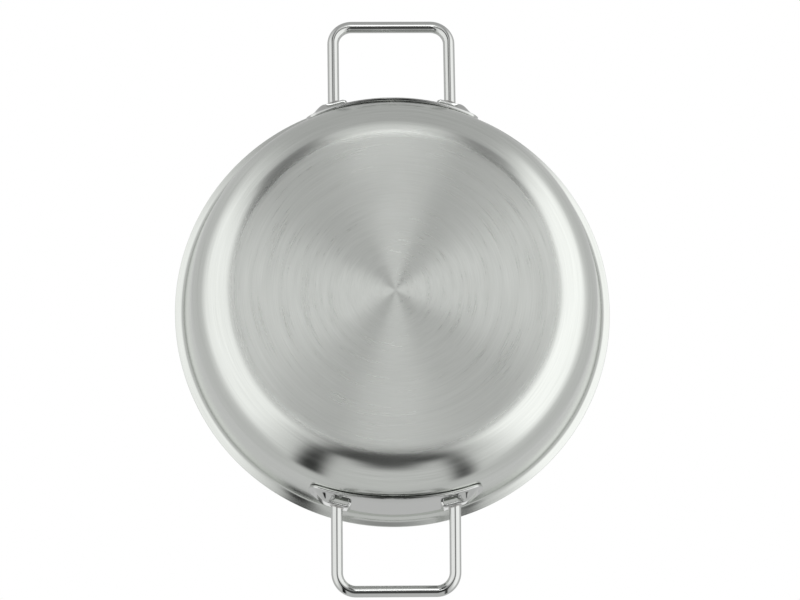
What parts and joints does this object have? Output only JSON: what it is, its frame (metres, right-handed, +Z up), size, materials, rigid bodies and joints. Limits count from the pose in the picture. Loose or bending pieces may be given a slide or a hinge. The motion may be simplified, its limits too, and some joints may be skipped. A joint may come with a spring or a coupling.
{
  "type": "serving pan",
  "caption": "Round clad steel serving pan with a brushed base, rounded corners, a pouring lip and a fixed wire loop handle on a welded strap at each end.",
  "frame": {"origin": "centre of the underside of the base, on the surface that the pan stands on", "axes": "+Z up out of the pan's mouth, +X along the line of the handles"},
  "size_m": [0.3756, 0.28, 0.07],
  "materials": {
    "satin_steel": "satin, brushed in circles",
    "inside_steel": "satin, brushed in circles",
    "core_aluminium": "plain, seen only as a line at the rim",
    "polished_steel": "mirror polished",
    "weld_steel": "weld metal, lightly polished"
  },
  "bodies": {
    "root": {"outer_ply": "satin_steel", "core_ply": "core_aluminium", "inner_ply": "inside_steel", "right_strap": "polished_steel", "right_loop": "polished_steel", "right_bead_front": "weld_steel", "right_bead_rear": "weld_steel", "right_nugget_middle": "weld_steel", "right_nugget_band_front": "weld_steel", "right_nugget_band_rear": "weld_steel", "right_nugget_tip_front": "weld_steel", "right_nugget_tip_rear": "weld_steel", "left_strap": "polished_steel", "left_loop": "polished_steel", "left_bead_front": "weld_steel", "left_bead_rear": "weld_steel", "left_nugget_middle": "weld_steel", "left_nugget_band_front": "weld_steel", "left_nugget_band_rear": "weld_steel", "left_nugget_tip_front": "weld_steel", "left_nugget_tip_rear": "weld_steel"}
  },
  "joints": []
}
